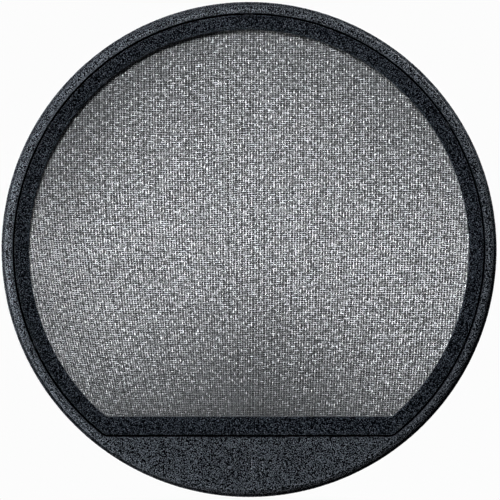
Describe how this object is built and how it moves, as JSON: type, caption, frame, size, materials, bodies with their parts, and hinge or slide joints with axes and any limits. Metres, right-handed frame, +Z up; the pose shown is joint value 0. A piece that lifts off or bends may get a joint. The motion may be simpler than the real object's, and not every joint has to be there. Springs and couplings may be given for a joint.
{
  "type": "pop filter",
  "caption": "Round fabric microphone pop screen in a grained rim with a flat chin, on a bendable gooseneck with a screw clamp for a stand tube.",
  "frame": {"origin": "middle of the fixed jaw's rubber face, which grips a microphone stand's tube", "axes": "+X from the fixed jaw to the clamp screw, +Z up, along the stand's tube; the screen faces -Y"},
  "size_m": [0.1524, 0.4032, 0.1524],
  "materials": {
    "grained_shell": "black plastic with a leather grain",
    "bezel_plastic": "smooth matt black",
    "screen_fabric": "coarse grey woven cloth",
    "hoop_plastic": "moulded black",
    "hose_metal": "satin black coil",
    "ferrule_metal": "black chrome",
    "clamp_paint": "fine black powder coat",
    "knob_plastic": "moulded black",
    "rubber": "ribbed black",
    "steel": "zinc plated",
    "black_steel": "black oxide",
    "brass": "machined"
  },
  "bodies": {
    "clamp": {"clamp_body": "clamp_paint", "jaw_pad": "rubber", "clamp_bush": "brass", "clamp_insert": "brass", "clamp_lock_nut": "ferrule_metal", "clamp_ferrule": "ferrule_metal", "clamp_hose_stub": "hose_metal"},
    "pressure_pad": {"pressure_cup": "black_steel", "pressure_pad": "rubber"},
    "clamp_screw": {"clamp_screw": "steel", "snap_ring": "black_steel", "clamp_knob": "knob_plastic", "knob_cap": "knob_plastic"},
    "neck_link_01": {"neck_link_01": "hose_metal"},
    "neck_link_02": {"neck_link_02": "hose_metal"},
    "neck_link_03": {"neck_link_03": "hose_metal"},
    "neck_link_04": {"neck_link_04": "hose_metal"},
    "neck_link_05": {"neck_link_05": "hose_metal"},
    "neck_link_06": {"neck_link_06": "hose_metal"},
    "neck_link_07": {"neck_link_07": "hose_metal"},
    "neck_link_08": {"neck_link_08": "hose_metal"},
    "neck_link_09": {"neck_link_09": "hose_metal"},
    "neck_link_10": {"neck_link_10": "hose_metal"},
    "neck_link_11": {"neck_link_11": "hose_metal"},
    "neck_link_12": {"neck_link_12": "hose_metal"},
    "neck_link_13": {"neck_link_13": "hose_metal"},
    "neck_link_14": {"neck_link_14": "hose_metal"},
    "neck_link_15": {"neck_link_15": "hose_metal"},
    "head": {"front_shell": "grained_shell", "rear_shell": "grained_shell", "front_bezel": "bezel_plastic", "chin_plate": "steel", "front_mesh_outer": "screen_fabric", "front_hoop": "hoop_plastic", "front_mesh_inner": "screen_fabric", "spacer_ring": "hoop_plastic", "rear_mesh_inner": "screen_fabric", "rear_hoop": "hoop_plastic", "rear_mesh_outer": "screen_fabric", "case_screw_1": "black_steel", "case_screw_2": "black_steel", "case_screw_3": "black_steel", "case_screw_4": "black_steel", "case_screw_5": "black_steel", "case_screw_6": "black_steel", "case_screw_7": "black_steel", "plate_screw_1": "steel", "plate_screw_2": "steel", "head_insert": "brass", "head_lock_nut": "ferrule_metal", "head_ferrule": "ferrule_metal", "head_hose_stub": "hose_metal"}
  },
  "joints": [
    {"name": "neck_yaw_01", "type": "hinge", "parent": "clamp", "child": "neck_link_01", "pos_m": [0.02, -0.0676, 0], "axis": [0, 0, 1], "range_deg": [-15, 15]},
    {"name": "neck_pitch_01", "type": "hinge", "parent": "neck_link_01", "child": "neck_link_02", "pos_m": [0.02, -0.0856, 0], "axis": [1, 0, 0], "range_deg": [-20, 10]},
    {"name": "neck_yaw_02", "type": "hinge", "parent": "neck_link_02", "child": "neck_link_03", "pos_m": [0.02, -0.10353, -0.00157], "axis": [0, -0.0872, 0.9962], "range_deg": [-15, 15]},
    {"name": "neck_pitch_02", "type": "hinge", "parent": "neck_link_03", "child": "neck_link_04", "pos_m": [0.02, -0.12146, -0.00314], "axis": [1, 0, 0], "range_deg": [-20, 10]},
    {"name": "neck_yaw_03", "type": "hinge", "parent": "neck_link_04", "child": "neck_link_05", "pos_m": [0.02, -0.13919, -0.00626], "axis": [0, -0.1736, 0.9848], "range_deg": [-15, 15]},
    {"name": "neck_pitch_03", "type": "hinge", "parent": "neck_link_05", "child": "neck_link_06", "pos_m": [0.02, -0.15692, -0.00939], "axis": [1, 0, 0], "range_deg": [-20, 10]},
    {"name": "neck_yaw_04", "type": "hinge", "parent": "neck_link_06", "child": "neck_link_07", "pos_m": [0.02, -0.1743, -0.01405], "axis": [0, -0.2588, 0.9659], "range_deg": [-15, 15]},
    {"name": "neck_pitch_04", "type": "hinge", "parent": "neck_link_07", "child": "neck_link_08", "pos_m": [0.02, -0.19169, -0.01871], "axis": [1, 0, 0], "range_deg": [-20, 10]},
    {"name": "neck_yaw_05", "type": "hinge", "parent": "neck_link_08", "child": "neck_link_09", "pos_m": [0.02, -0.2086, -0.02486], "axis": [0, -0.342, 0.9397], "range_deg": [-15, 15]},
    {"name": "neck_pitch_05", "type": "hinge", "parent": "neck_link_09", "child": "neck_link_10", "pos_m": [0.02, -0.22552, -0.03102], "axis": [1, 0, 0], "range_deg": [-10, 20]},
    {"name": "neck_yaw_06", "type": "hinge", "parent": "neck_link_10", "child": "neck_link_11", "pos_m": [0.02, -0.24291, -0.03568], "axis": [0, -0.2588, 0.9659], "range_deg": [-15, 15]},
    {"name": "neck_pitch_06", "type": "hinge", "parent": "neck_link_11", "child": "neck_link_12", "pos_m": [0.02, -0.26029, -0.04034], "axis": [1, 0, 0], "range_deg": [-10, 20]},
    {"name": "neck_yaw_07", "type": "hinge", "parent": "neck_link_12", "child": "neck_link_13", "pos_m": [0.02, -0.27802, -0.04346], "axis": [0, -0.1736, 0.9848], "range_deg": [-15, 15]},
    {"name": "neck_pitch_07", "type": "hinge", "parent": "neck_link_13", "child": "neck_link_14", "pos_m": [0.02, -0.29574, -0.04659], "axis": [1, 0, 0], "range_deg": [-10, 20]},
    {"name": "neck_yaw_08", "type": "hinge", "parent": "neck_link_14", "child": "neck_link_15", "pos_m": [0.02, -0.31368, -0.04816], "axis": [0, -0.0872, 0.9962], "range_deg": [-15, 15]},
    {"name": "neck_pitch_08", "type": "hinge", "parent": "neck_link_15", "child": "head", "pos_m": [0.02, -0.33161, -0.04973], "axis": [1, 0, 0], "range_deg": [-10, 20]},
    {"name": "pad_slide", "type": "slide", "parent": "clamp", "child": "pressure_pad", "axis": [-1, 0, 0], "range_m": [0, 0.02]},
    {"name": "screw_turn", "type": "hinge", "parent": "pressure_pad", "child": "clamp_screw", "pos_m": [0.032, 0, 0], "axis": [-1, 0, 0], "range_deg": [0, 3600]}
  ],
  "couplings": [
    {"joint": "neck_yaw_02", "follows": "neck_yaw_01", "ratio": 1},
    {"joint": "neck_pitch_02", "follows": "neck_pitch_01", "ratio": 1},
    {"joint": "neck_yaw_03", "follows": "neck_yaw_01", "ratio": 1},
    {"joint": "neck_pitch_03", "follows": "neck_pitch_01", "ratio": 1},
    {"joint": "neck_yaw_04", "follows": "neck_yaw_01", "ratio": 1},
    {"joint": "neck_pitch_04", "follows": "neck_pitch_01", "ratio": 1},
    {"joint": "neck_yaw_06", "follows": "neck_yaw_05", "ratio": 1},
    {"joint": "neck_pitch_06", "follows": "neck_pitch_05", "ratio": 1},
    {"joint": "neck_yaw_07", "follows": "neck_yaw_05", "ratio": 1},
    {"joint": "neck_pitch_07", "follows": "neck_pitch_05", "ratio": 1},
    {"joint": "neck_yaw_08", "follows": "neck_yaw_05", "ratio": 1},
    {"joint": "neck_pitch_08", "follows": "neck_pitch_05", "ratio": 1},
    {"joint": "screw_turn", "follows": "pad_slide", "rad_per_m": 3141.6}
  ]
}
